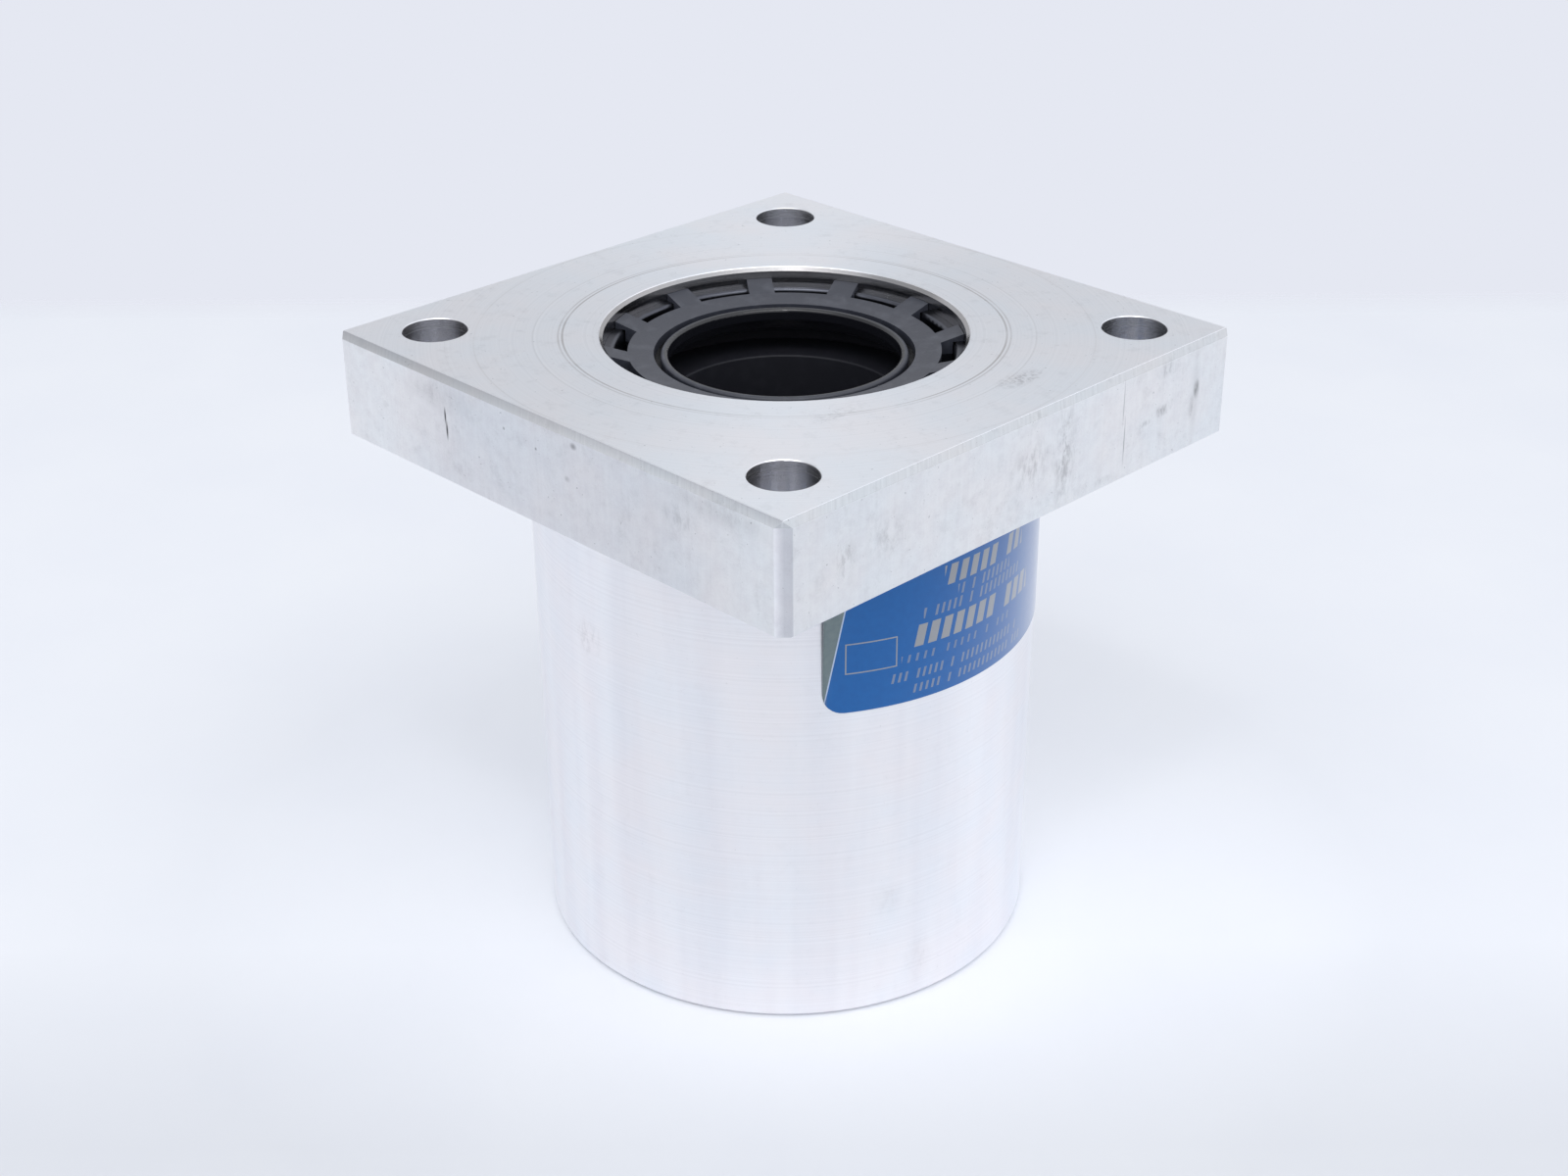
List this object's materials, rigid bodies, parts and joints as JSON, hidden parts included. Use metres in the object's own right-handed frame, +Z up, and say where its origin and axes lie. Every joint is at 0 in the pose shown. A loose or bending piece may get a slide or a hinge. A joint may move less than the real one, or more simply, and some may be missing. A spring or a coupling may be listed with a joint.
{
  "type": "linear bushing",
  "caption": "Closed linear ball bushing for a round shaft, held in an aluminium block with a square bolt-on flange and a plain round barrel, with wiper seals.",
  "frame": {"origin": "centre of the barrel's lower end face, on the shaft's axis", "axes": "+Z up the shaft's axis to the flange's face; X and Y along the flange's sides"},
  "size_m": [0.0694, 0.0694, 0.0714],
  "materials": {
    "block_aluminium": "turned and milled, bare, with handling marks",
    "label_foil": "printed foil, blue with silver fields",
    "sleeve_polymer": "moulded",
    "retainer_polymer": "moulded, dark",
    "ring_steel": "spring steel, phosphated",
    "case_steel": "drawn steel",
    "seal_rubber": "moulded, dark grey, semi-matte",
    "ball_steel": "polished bearing steel",
    "plate_steel": "hardened and ground"
  },
  "bodies": {
    "block": {"ball_circuit_1": "ball_steel", "ball_circuit_2": "ball_steel", "ball_circuit_3": "ball_steel", "ball_circuit_4": "ball_steel", "ball_circuit_5": "ball_steel", "ball_circuit_6": "ball_steel", "ball_retainer": "retainer_polymer", "housing": "block_aluminium", "label": "label_foil", "outer_sleeve": "sleeve_polymer", "retaining_ring_bottom": "ring_steel", "retaining_ring_top": "ring_steel", "seal_case_bottom": "case_steel", "seal_case_top": "case_steel", "wiper_seal_bottom": "seal_rubber", "wiper_seal_top": "seal_rubber"},
    "plate_1": {"bearing_plate_1": "plate_steel"},
    "plate_2": {"bearing_plate_2": "plate_steel"},
    "plate_3": {"bearing_plate_3": "plate_steel"},
    "plate_4": {"bearing_plate_4": "plate_steel"},
    "plate_5": {"bearing_plate_5": "plate_steel"},
    "plate_6": {"bearing_plate_6": "plate_steel"}
  },
  "joints": [
    {"name": "plate_rock_1", "type": "hinge", "parent": "block", "child": "plate_1", "pos_m": [0.01985, 0, 0.0357], "axis": [0, 1, 0], "range_deg": [-0.5, 0.5]},
    {"name": "plate_rock_2", "type": "hinge", "parent": "block", "child": "plate_2", "pos_m": [0.00992, 0.01719, 0.0357], "axis": [-0.866, 0.5, 0], "range_deg": [-0.5, 0.5]},
    {"name": "plate_rock_3", "type": "hinge", "parent": "block", "child": "plate_3", "pos_m": [-0.00992, 0.01719, 0.0357], "axis": [-0.866, -0.5, 0], "range_deg": [-0.5, 0.5]},
    {"name": "plate_rock_4", "type": "hinge", "parent": "block", "child": "plate_4", "pos_m": [-0.01985, 0, 0.0357], "axis": [0, -1, 0], "range_deg": [-0.5, 0.5]},
    {"name": "plate_rock_5", "type": "hinge", "parent": "block", "child": "plate_5", "pos_m": [-0.00992, -0.01719, 0.0357], "axis": [0.866, -0.5, 0], "range_deg": [-0.5, 0.5]},
    {"name": "plate_rock_6", "type": "hinge", "parent": "block", "child": "plate_6", "pos_m": [0.00992, -0.01719, 0.0357], "axis": [0.866, 0.5, 0], "range_deg": [-0.5, 0.5]}
  ]
}
